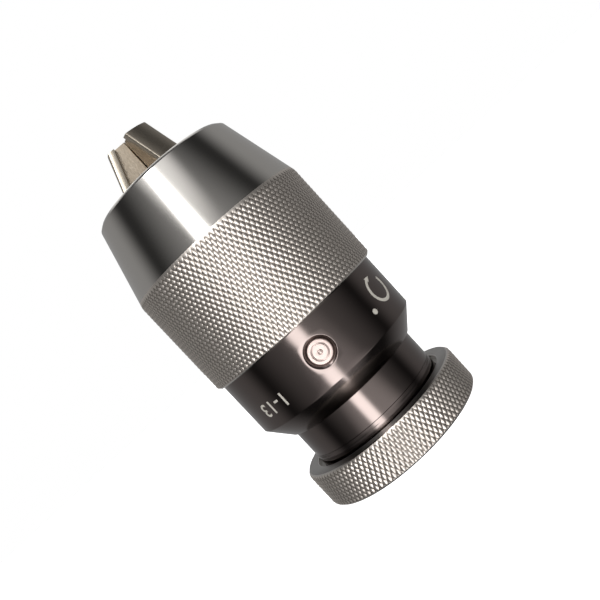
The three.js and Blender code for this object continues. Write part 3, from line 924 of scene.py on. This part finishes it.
def build_guide(sizes):
    """Jaw guide: ring and three fingers inside the hood, with a stepped slot for each jaw."""
    ring_inner = GUIDE_RADIUS - 3.25 * MM
    ring_front = GUIDE_REAR + 6 * MM
    cone = RUN_FIT
    head_bore = HEAD_RADIUS + RUN_FIT
    head_front = SCREW_FRONT + 0.3 * MM
    bend = JAW_TIP - (GUIDE_RADIUS - cone - JAW_TIP_BACK) / JAW_SLOPE
    bore = 7.2 * MM
    guide = turned(
        "jaw_guide_fingers",
        [
            (ring_inner, GUIDE_REAR, 0),
            (GUIDE_RADIUS, GUIDE_REAR, 0),
            (GUIDE_RADIUS, bend, 0),
            (jaw_back(GUIDE_FRONT) + cone, GUIDE_FRONT, 0),
            (bore, GUIDE_FRONT, 0),
            (bore, head_front, 0),
            (head_bore, head_front, 0),
            (head_bore, ring_front, 0),
            (ring_inner, ring_front, 0),
        ],
        INNER_FACETS,
    )
    top = GUIDE_FRONT + PAST
    ledge = JAW_FLANGE + RUN_FIT
    tail_front = BAR_FRONT + RUN_FIT
    outside = jaw_back(ring_front) + PAST
    outside_top = jaw_back(top) + PAST
    wide = [
        (jaw_back(ring_front) - ledge, ring_front),
        (outside, ring_front),
        (outside_top, top),
        (jaw_back(top) - ledge, top),
    ]
    narrow = [(0, ring_front), (outside, ring_front), (outside_top, top), (0, top)]
    tail = [(0, ring_front), (outside, ring_front), (outside, tail_front), (0, tail_front)]
    for body in JAW_AXES:
        angle = jaw_angle(body)
        for corners, width in ((wide, JAW_WIDTH), (narrow, JAW_WEB), (tail, JAW_WIDTH)):
            combine(guide, slab("slot", corners, width + 2 * RUN_FIT, angle), "DIFFERENCE")
    break_edges(guide, 0.15 * MM)
    return guide


def build_screw(sizes):
    """Drive screw: left-hand thread, and a head with a T-slot for the tail of each jaw."""
    head_rear = SCREW_FRONT - 8 * MM
    head = [
        (SCREW_MAJOR - THREAD_DEPTH, head_rear, 0),
        (HEAD_RADIUS, head_rear, 0.5 * MM),
        (HEAD_RADIUS, SCREW_FRONT, 0.5 * MM),
        (0, SCREW_FRONT, 0),
        (0, SCREW_REAR, 0),
    ]
    screw = threaded("drive_screw_thread", [], head, SCREW_REAR, head_rear - THREAD_ROW, False, INNER_FACETS)
    out = HEAD_RADIUS + PAST
    low, high, top = JAW_REAR - RUN_FIT, BAR_FRONT + RUN_FIT, SCREW_FRONT + PAST
    neck = [(0, JAW_REAR), (out, JAW_REAR), (out, top), (0, top)]
    chamber = [(0, low), (out, low), (out, high), (0, high)]
    for body in JAW_AXES:
        for corners, width in ((neck, JAW_WEB), (chamber, JAW_WIDTH)):
            combine(screw, slab("slot", corners, width + 2 * RUN_FIT, jaw_angle(body)), "DIFFERENCE")
    smooth(screw, 40)
    return screw


def jaw_section(height):
    """Half section of a jaw across the axis, as (outward, sideways) points from the grip to the back."""
    main_rear = SCREW_FRONT + RUN_FIT
    share = max(0.0, (GRIP_REAR - height) / (GRIP_REAR - main_rear))
    inner = GRIP + share * (TAIL_INNER - GRIP)
    slant = tan(radians(60))
    side = min(JAW_WEB / 2, GRIP + (inner - GRIP) * slant)
    web = max(inner, GRIP + (JAW_WEB / 2 - GRIP) / slant)
    flange = jaw_back(height) - JAW_FLANGE
    back = min(jaw_back(height), JAW_BACK_LIMIT) + JAW_CROWN
    half = [(inner, side), (web, JAW_WEB / 2), (flange, JAW_WEB / 2), (flange, JAW_WIDTH / 2)]
    for k in range(CROWN_STEPS):
        y = JAW_WIDTH / 2 * (1 - k / CROWN_STEPS)
        half.append((sqrt(back * back - y * y) - JAW_CROWN, y))
    return half, (back - JAW_CROWN, 0)


def tail_section(half_width):
    """Half section of a jaw's tail, with as many points as a jaw's section."""
    half = [(TAIL_INNER, half_width)] * 2 + [(TAIL_OUTER, half_width)] * 2
    half += [(TAIL_OUTER, half_width * (1 - k / CROWN_STEPS)) for k in range(CROWN_STEPS)]
    return half, (TAIL_OUTER, 0)


def build_jaw(name, angle):
    """Jaw: web to the gripping edge, flange along the crowned back, and a T-shaped tail."""
    main_rear = SCREW_FRONT + RUN_FIT
    limit_height = JAW_TIP - (JAW_BACK_LIMIT - JAW_TIP_BACK) / JAW_SLOPE
    sections = [
        (JAW_REAR, tail_section(JAW_WIDTH / 2)),
        (BAR_FRONT, tail_section(JAW_WIDTH / 2)),
        (BAR_FRONT, tail_section(JAW_WEB / 2)),
        (main_rear, tail_section(JAW_WEB / 2)),
    ]
    for height in (main_rear, limit_height, GRIP_REAR, JAW_TIP):
        sections.append((height, jaw_section(height)))
    points = []
    for height, (half, middle) in sections:
        ring = half + [middle] + [(x, -y) for x, y in reversed(half)]
        points += [(x, y, height) for x, y in ring]
    around = len(points) // len(sections)
    faces = grid_quads(len(sections), around, closed=False).tolist()
    faces += [tuple(range(around)), tuple(range(len(points) - around, len(points)))]
    jaw = add_mesh(name, points, faces)
    drop_empty_faces(jaw)
    break_edges(jaw, 0.14 * MM)
    for face in jaw.data.polygons:
        face.material_index = int(abs(face.normal.y) > 0.9 and abs(face.center.y) < 0.55 * JAW_WEB)
    jaw.data.transform(Matrix.Rotation(angle, 4, "Z"))
    return jaw


def drop_empty_faces(piece):
    """Removes the faces without area that merged points leave."""
    solid = bmesh.new()
    solid.from_mesh(piece.data)
    bmesh.ops.dissolve_degenerate(solid, edges=solid.edges, dist=MERGE)
    bmesh.ops.recalc_face_normals(solid, faces=solid.faces)
    solid.to_mesh(piece.data)
    solid.free()


def build_ball(name, node):
    """Bearing ball, round and smooth, in the place of its CAD node."""
    low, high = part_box(node)
    mesh = bpy.data.meshes.new(name)
    solid = bmesh.new()
    place = Matrix.Translation((low + high) / 2)
    bmesh.ops.create_icosphere(solid, subdivisions=4, radius=BALL_RADIUS, matrix=place)
    solid.to_mesh(mesh)
    solid.free()
    ball = bpy.data.objects.new(name, mesh)
    bpy.context.scene.collection.objects.link(ball)
    smooth(ball, 180)
    return ball


# ---- marks ----------------------------------------------------------------------------------------

MARK_PROUD = 0.02 * MM


def wrap_mark(piece, heading, height):
    """Lays a flat mark on the sleeve, its top towards the rear, as it reads with the nose down."""
    solid = bmesh.new()
    solid.from_mesh(piece.data)
    long_edges = [edge for edge in solid.edges if edge.calc_length() > 0.5 * MM]
    while long_edges:
        bmesh.ops.subdivide_edges(solid, edges=long_edges, cuts=1)
        bmesh.ops.triangulate(solid, faces=[face for face in solid.faces if len(face.verts) > 4])
        long_edges = [edge for edge in solid.edges if edge.calc_length() > 0.9 * MM]
    for vert in solid.verts:
        x, y, z = vert.co
        turn = radians(heading - 90) - x / SLEEVE_RADIUS
        out = SLEEVE_RADIUS + z
        vert.co = (out * cos(turn), out * sin(turn), height - y)
    bmesh.ops.recalc_face_normals(solid, faces=solid.faces)
    solid.to_mesh(piece.data)
    solid.free()
    return piece


def capacity_mark(sizes):
    """Capacity in millimetres, as plain figures."""
    text = bpy.data.curves.new("capacity", "FONT")
    text.body = "1-13"
    text.size = sizes.mark_height / 0.72
    text.extrude = MARK_PROUD
    text.offset = 0.05 * MM
    text.align_x = "LEFT"
    text.space_character = 1.1
    holder = bpy.data.objects.new("capacity", text)
    bpy.context.scene.collection.objects.link(holder)
    bpy.context.view_layer.update()
    mesh = bpy.data.meshes.new_from_object(holder.evaluated_get(bpy.context.evaluated_depsgraph_get()))
    bpy.data.objects.remove(holder)
    piece = bpy.data.objects.new("capacity_figures", mesh)
    bpy.context.scene.collection.objects.link(piece)
    return wrap_mark(piece, -32, BALL_HEIGHT - 0.9 * MM)


def turning_mark():
    """Arrow that bends round on itself, for the way to turn the hood, with a dot beside it."""
    inner, outer = 3.0 * MM, 3.8 * MM
    middle = (inner + outer) / 2
    turns = np.linspace(radians(-60), radians(210), 37)
    ring = [(outer * cos(t), outer * sin(t)) for t in turns]
    tip_turn = radians(-60) - 0.55
    barb = 0.75 * MM
    head = [
        ((middle - barb) * cos(turns[0]), (middle - barb) * sin(turns[0])),
        (middle * cos(tip_turn), middle * sin(tip_turn)),
        ((middle + barb) * cos(turns[0]), (middle + barb) * sin(turns[0])),
    ]
    ring += [(inner * cos(t), inner * sin(t)) for t in reversed(turns)] + head
    dot_turns = np.linspace(0, 2 * pi, 25)[:-1]
    dot = [(6.6 * MM + 0.7 * MM * cos(t), 3.2 * MM + 0.7 * MM * sin(t)) for t in dot_turns]
    points, faces = [], []
    for outline in (ring, dot):
        start, count = len(points), len(outline)
        points += [(x, y, z) for z in (-MARK_PROUD, MARK_PROUD) for x, y in outline]
        lower = range(start, start + count)
        upper = range(start + count, start + 2 * count)
        faces += [tuple(lower), tuple(upper)]
        faces += [(lower[k], lower[(k + 1) % count], upper[(k + 1) % count], upper[k]) for k in range(count)]
    piece = add_mesh("turning_arrow", points, faces)
    triangulate(piece)
    return wrap_mark(piece, 54, BALL_HEIGHT + 0.9 * MM)


def triangulate(piece):
    """Splits every face of a piece into triangles."""
    solid = bmesh.new()
    solid.from_mesh(piece.data)
    bmesh.ops.triangulate(solid, faces=solid.faces)
    solid.to_mesh(piece.data)
    solid.free()


# ---- stage ----------------------------------------------------------------------------------------

# Plain studio of white lamps in a dim grey room.  Each soft lamp has its heading and elevation, the angles
# from its middle at which it starts to fade and is gone, all in degrees, and its strength.
ROOM = 0.03
SOFT_LAMPS = (
    (0, 0, 20, 80, 0.3),          # broad fill in front
    (135, 0, 30, 60, 0.3),        # panel behind on the right
    (-135, 0, 30, 60, 0.3),       # panel behind on the left
    (0, -45, 30, 50, 0.9),        # reflector low in front
    (0, 60, 15, 30, 0.9),         # panel high in front
    (180, 45, 10, 20, 1.5),       # lamp high behind
)
STRIP = (-10, 4, 12, 6.0)         # tall strip light in front, from floor to ceiling


def toward(heading, elevation):
    """Unit vector for a heading and an elevation in degrees."""
    turn, rise = radians(heading), radians(elevation)
    return Vector((sin(turn) * cos(rise), -cos(turn) * cos(rise), sin(rise)))


def lamp(tree, way, heading, elevation, inner, outer, strength):
    """Light of a soft lamp in each direction: full inside the inner angle and none outside the outer one."""
    facing = add_node(
        tree, "ShaderNodeVectorMath", {0: way, 1: toward(heading, elevation)}, operation="DOT_PRODUCT"
    ).outputs["Value"]
    limits = {"From Min": cos(radians(outer)), "From Max": cos(radians(inner)), "To Max": strength}
    return add_node(
        tree, "ShaderNodeMapRange", {"Value": facing, **limits}, interpolation_type="SMOOTHSTEP"
    ).outputs["Result"]


def dress_world():
    """Plain studio: soft white lamps in a dim room, and white paper to the camera."""
    world = bpy.data.worlds.new("studio")
    bpy.context.scene.world = world
    world.use_nodes = True
    tree = world.node_tree
    tree.nodes.clear()
    way = add_node(tree, "ShaderNodeTexCoord").outputs["Generated"]
    flat = add_node(tree, "ShaderNodeVectorMath", {0: way, 1: (1, 1, 0)}, operation="MULTIPLY").outputs[0]
    level = add_node(tree, "ShaderNodeVectorMath", {0: flat}, operation="NORMALIZE").outputs[0]
    heading, inner, outer, strength = STRIP
    lamps = [lamp(tree, way, *soft) for soft in SOFT_LAMPS]
    lamps.append(lamp(tree, level, heading, 0, inner, outer, strength))
    light = ROOM
    for one in lamps:
        light = add_node(tree, "ShaderNodeMath", {0: light, 1: one}, operation="ADD").outputs["Value"]
    room = add_node(tree, "ShaderNodeBackground", {"Color": (1, 1, 1, 1), "Strength": light}).outputs[0]
    paper = add_node(tree, "ShaderNodeBackground", {"Color": (1, 1, 1, 1), "Strength": 1.0}).outputs[0]
    seen = add_node(tree, "ShaderNodeLightPath").outputs["Is Camera Ray"]
    mixed = add_node(tree, "ShaderNodeMixShader", {"Fac": seen, 1: room, 2: paper}).outputs[0]
    add_node(tree, "ShaderNodeOutputWorld", {"Surface": mixed})


def build_floor(finishes):
    """Matt pale floor that the metal doesn't mirror."""
    half = 1.5
    points = [(x, y, -0.02 * MM) for x, y in ((-half, -half), (half, -half), (half, half), (-half, half))]
    mesh = bpy.data.meshes.new("floor")
    mesh.from_pydata(points, [], [(0, 1, 2, 3)])
    floor = bpy.data.objects.new("floor", mesh)
    bpy.context.scene.collection.objects.link(floor)
    material, tree = start_material("matt_pale_floor")
    end_material(
        tree,
        base_color=linear(finishes.floor),
        roughness=0.9,
        emission_color=linear(finishes.floor),
        emission_strength=0.9,
    )
    floor.data.materials.append(material)
    floor.visible_glossy = False


CAMERA_PLACE = (0, -0.180405, 0.05033)
CAMERA_RIGHT = Vector((0.73309, -0.07141, -0.67637))
CAMERA_UP = Vector((0.67927, 0.02694, 0.73339))


def place_camera():
    """Camera level with the middle of the chuck and turned over sideways, close in front of it."""
    back = CAMERA_RIGHT.cross(CAMERA_UP).normalized()
    axes = Matrix((CAMERA_RIGHT, CAMERA_UP, back)).transposed().to_4x4()
    data = bpy.data.cameras.new("camera")
    data.sensor_width = 36
    data.lens = 43.9
    data.shift_x = -0.0301
    data.shift_y = 0.0153
    data.clip_start = 0.01
    camera = bpy.data.objects.new("camera", data)
    bpy.context.scene.collection.objects.link(camera)
    camera.matrix_world = Matrix.Translation(CAMERA_PLACE) @ axes
    bpy.context.scene.camera = camera


# ---- operators ------------------------------------------------------------------------------------


class ChuckOperator:
    """What the operators share: the settings of the scene that they run in."""

    bl_options = {"REGISTER", "UNDO"}

    def settings(self, context):
        return context.scene.chuck_sizes, context.scene.chuck_knurl, context.scene.chuck_finishes


class CHUCK_OT_stage(ChuckOperator, bpy.types.Operator):
    """Set the floor, the studio light and the camera"""

    bl_idname = "chuck.stage"
    bl_label = "Stage"

    def execute(self, context):
        _, _, finishes = self.settings(context)
        dress_world()
        build_floor(finishes)
        place_camera()
        context.scene.view_settings.view_transform = "Standard"
        return {"FINISHED"}


class CHUCK_OT_hood(ChuckOperator, bpy.types.Operator):
    """Build the knurled hood with its nose cone"""

    bl_idname = "chuck.hood"
    bl_label = "Hood"

    def execute(self, context):
        sizes, knurl, finishes = self.settings(context)
        steels = (polished_steel(finishes), knurled_steel(finishes), turned_face(finishes))
        finish_piece(build_hood(knurl, sizes), "sleeve", ["hood"], "polished_steel", *steels)
        return {"FINISHED"}


class CHUCK_OT_ring(ChuckOperator, bpy.types.Operator):
    """Build the knurled hold ring"""

    bl_idname = "chuck.ring"
    bl_label = "Hold Ring"

    def execute(self, context):
        sizes, knurl, finishes = self.settings(context)
        steels = (polished_steel(finishes), knurled_steel(finishes), turned_face(finishes))
        finish_piece(build_ring(knurl, sizes), "body", ["hold_ring"], "polished_steel", *steels)
        return {"FINISHED"}


class CHUCK_OT_bearing(ChuckOperator, bpy.types.Operator):
    """Build the black sleeve, its filling plug and the balls that run in it"""

    bl_idname = "chuck.bearing"
    bl_label = "Sleeve and Balls"

    def execute(self, context):
        sizes, _, finishes = self.settings(context)
        # The recess round the plug gets dark oxide with painted shade on top.
        black, oxide = blackened_steel(finishes), oxide_and_painted_shade_recess(finishes)
        finish_piece(build_sleeve(sizes), "sleeve", ["sleeve"], "blackened_steel", black, oxide)
        finish_piece(build_plug(sizes), "sleeve", ["filler_plug"], "ground_steel", faced_steel(finishes))
        bearing = bearing_steel(finishes)
        for node in BALLS:
            finish_piece(build_ball(f"{node}_lapped", node), "ball_ring", [node], "bearing_steel", bearing)
        return {"FINISHED"}


class CHUCK_OT_body(ChuckOperator, bpy.types.Operator):
    """Build the body with its neck and taper socket"""

    bl_idname = "chuck.body"
    bl_label = "Body"

    def execute(self, context):
        sizes, _, finishes = self.settings(context)
        finish_piece(build_body(sizes), "body", ["chuck_body"], "blackened_steel", blackened_steel(finishes))
        return {"FINISHED"}


class CHUCK_OT_jaws(ChuckOperator, bpy.types.Operator):
    """Build the three jaws, their guide and the screw that drives them"""

    bl_idname = "chuck.jaws"
    bl_label = "Jaws, Guide and Screw"

    def execute(self, context):
        sizes, _, finishes = self.settings(context)
        ground = ground_steel(finishes)
        milled = milled_steel(finishes)
        hardened = hardened_steel(finishes)
        for body in JAW_AXES:
            jaw = build_jaw(f"{body}_ground", jaw_angle(body))
            finish_piece(jaw, body, [body], "ground_steel", ground, milled)
        finish_piece(build_guide(sizes), "sleeve", ["jaw_guide"], "hardened_steel", hardened)
        finish_piece(build_screw(sizes), "screw", ["drive_screw"], "hardened_steel", hardened)
        return {"FINISHED"}


class CHUCK_OT_marks(ChuckOperator, bpy.types.Operator):
    """Etch the capacity figures and the turning arrow on the sleeve"""

    bl_idname = "chuck.marks"
    bl_label = "Marks"

    def execute(self, context):
        sizes, _, finishes = self.settings(context)
        etched = etched_steel(finishes)
        for mark in (capacity_mark(sizes), turning_mark()):
            finish_piece(mark, "sleeve", [], "blackened_steel", etched)
        return {"FINISHED"}


class CHUCK_PT_panel(bpy.types.Panel):
    """Settings and steps of the chuck."""

    bl_label = "Keyless Drill Chuck"
    bl_idname = "CHUCK_PT_panel"
    bl_space_type = "VIEW_3D"
    bl_region_type = "UI"
    bl_category = "Chuck"

    def draw(self, context):
        for operator in OPERATORS:
            self.layout.operator(operator.bl_idname)
        for group in (context.scene.chuck_sizes, context.scene.chuck_knurl, context.scene.chuck_finishes):
            box = self.layout.box()
            for key in group.__annotations__:
                box.prop(group, key)


GROUPS = {"chuck_sizes": ChuckSizes, "chuck_knurl": ChuckKnurl, "chuck_finishes": ChuckFinishes}
OPERATORS = (
    CHUCK_OT_stage,
    CHUCK_OT_hood,
    CHUCK_OT_ring,
    CHUCK_OT_bearing,
    CHUCK_OT_body,
    CHUCK_OT_jaws,
    CHUCK_OT_marks,
)


def register():
    for group in GROUPS.values():
        bpy.utils.register_class(group)
    for operator in OPERATORS:
        bpy.utils.register_class(operator)
    bpy.utils.register_class(CHUCK_PT_panel)
    for attribute, group in GROUPS.items():
        setattr(bpy.types.Scene, attribute, PointerProperty(type=group))


def unregister():
    for attribute in GROUPS:
        delattr(bpy.types.Scene, attribute)
    bpy.utils.unregister_class(CHUCK_PT_panel)
    for operator in reversed(OPERATORS):
        bpy.utils.unregister_class(operator)
    for group in reversed(GROUPS.values()):
        bpy.utils.unregister_class(group)


def main():
    register()
    bpy.ops.chuck.stage()
    bpy.ops.chuck.hood()
    bpy.ops.chuck.ring()
    bpy.ops.chuck.bearing()
    bpy.ops.chuck.body()
    bpy.ops.chuck.jaws()
    bpy.ops.chuck.marks()


if __name__ == "__main__":
    main()
